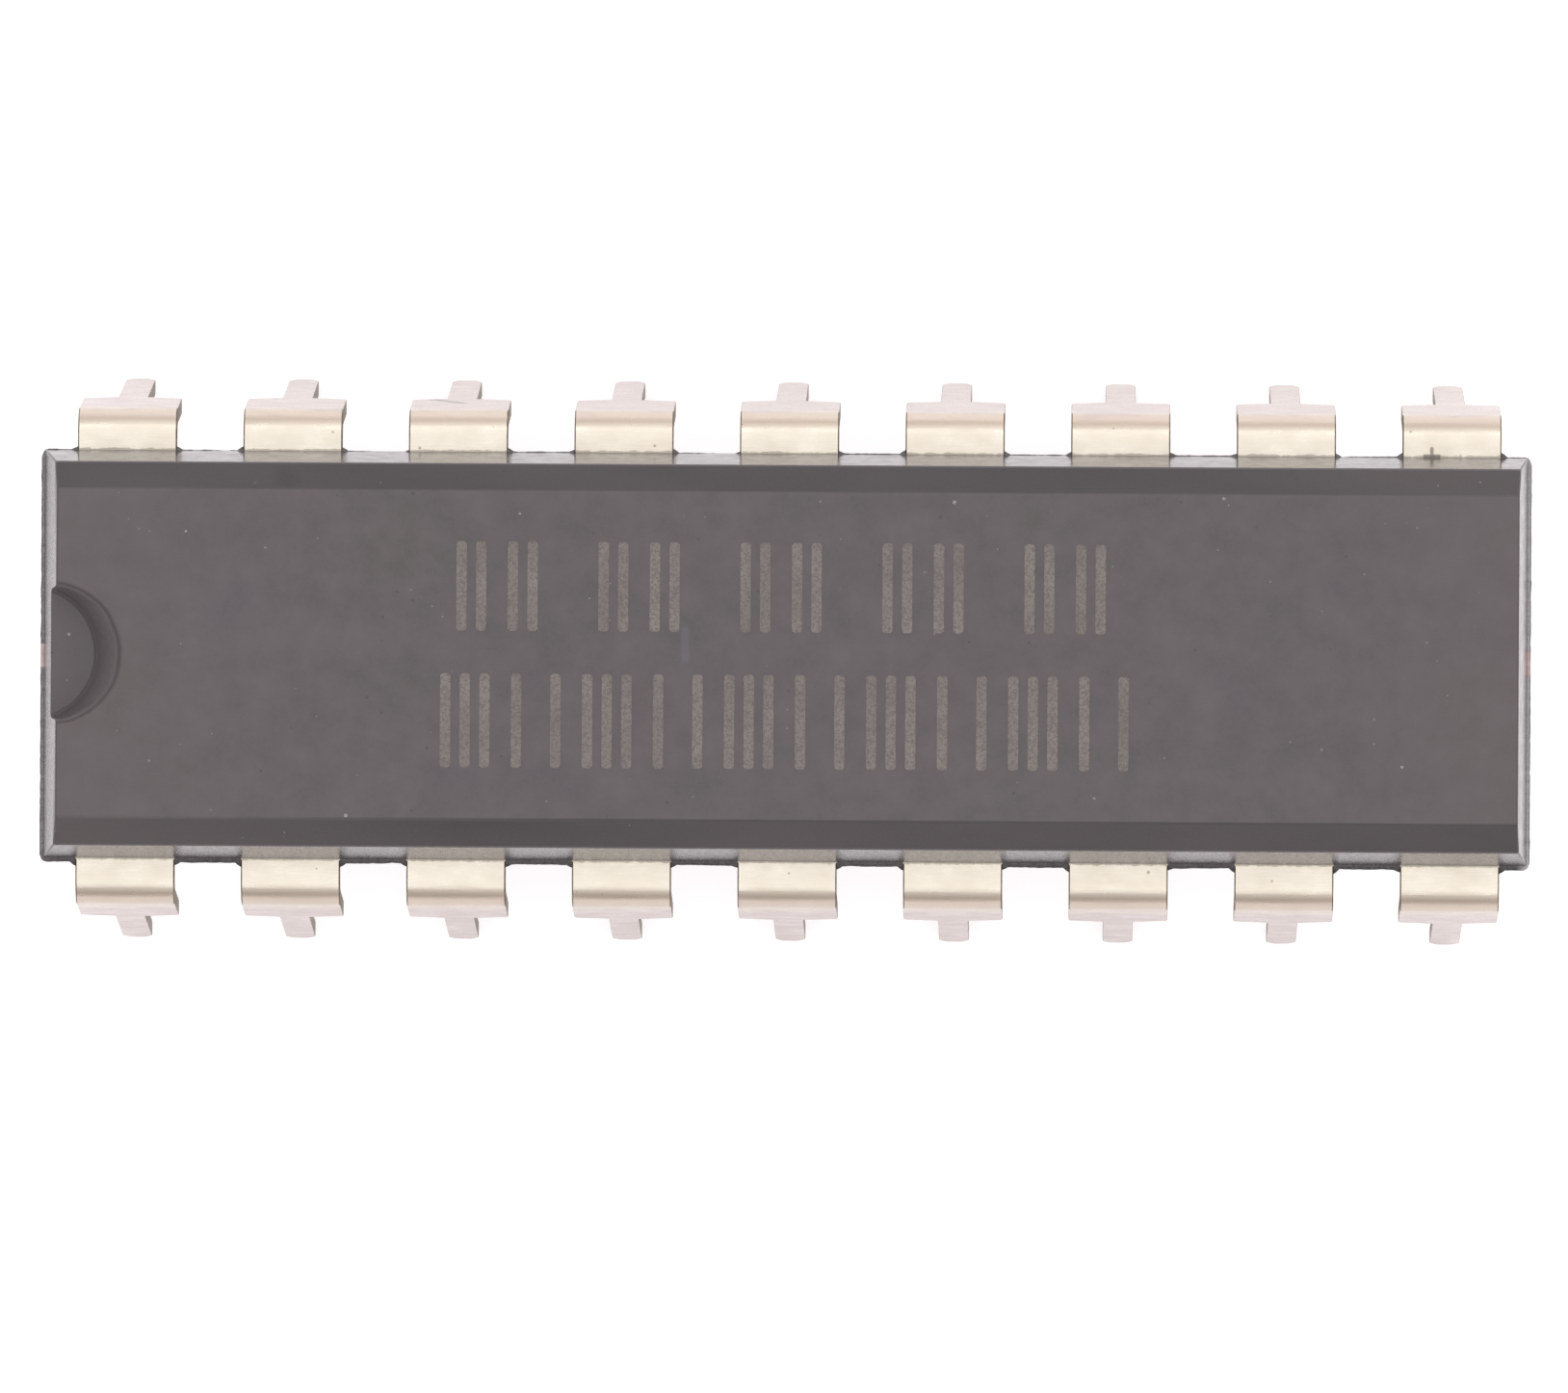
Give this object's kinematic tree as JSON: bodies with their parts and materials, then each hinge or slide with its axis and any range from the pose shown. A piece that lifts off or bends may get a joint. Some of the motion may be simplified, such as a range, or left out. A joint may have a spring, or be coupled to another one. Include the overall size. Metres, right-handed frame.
{
  "type": "dip integrated circuit chip",
  "caption": "Dual in-line integrated circuit: a moulded resin body with a half-round end notch, bent tinned leads along both sides, and the lead frame, chip and bond wires inside.",
  "frame": {"origin": "under the middle of the package, on the surface that the lead tips stand on", "axes": "+X along the package away from the notched end, +Y across it towards the row of higher lead numbers, +Z out of the top face"},
  "size_m": [0.0229, 0.0086, 0.0071],
  "materials": {
    "moulded_resin": "satin moulded epoxy, a little grey with age",
    "tinned_lead": "dull tin plate over copper alloy, dark on the sheared edges",
    "bare_copper": "bare copper alloy",
    "silver_adhesive": "silver-filled adhesive",
    "silicon": "polished silicon with a passivated face",
    "gold_wire": "bright drawn gold"
  },
  "bodies": {
    "root": {"body": "moulded_resin", "die_paddle": "bare_copper", "die_attach": "silver_adhesive", "silicon_die": "silicon", "lead_01": "tinned_lead", "lead_02": "tinned_lead", "lead_03": "tinned_lead", "lead_04": "tinned_lead", "lead_05": "tinned_lead", "lead_06": "tinned_lead", "lead_07": "tinned_lead", "lead_08": "tinned_lead", "lead_09": "tinned_lead", "lead_10": "tinned_lead", "lead_11": "tinned_lead", "lead_12": "tinned_lead", "lead_13": "tinned_lead", "lead_14": "tinned_lead", "lead_15": "tinned_lead", "lead_16": "tinned_lead", "lead_17": "tinned_lead", "lead_18": "tinned_lead", "bond_wire_01": "gold_wire", "bond_wire_02": "gold_wire", "bond_wire_03": "gold_wire", "bond_wire_04": "gold_wire", "bond_wire_05": "gold_wire", "bond_wire_06": "gold_wire", "bond_wire_07": "gold_wire", "bond_wire_08": "gold_wire", "bond_wire_09": "gold_wire", "bond_wire_10": "gold_wire", "bond_wire_11": "gold_wire", "bond_wire_12": "gold_wire", "bond_wire_13": "gold_wire", "bond_wire_14": "gold_wire", "bond_wire_15": "gold_wire", "bond_wire_16": "gold_wire", "bond_wire_17": "gold_wire", "bond_wire_18": "gold_wire"}
  },
  "joints": []
}
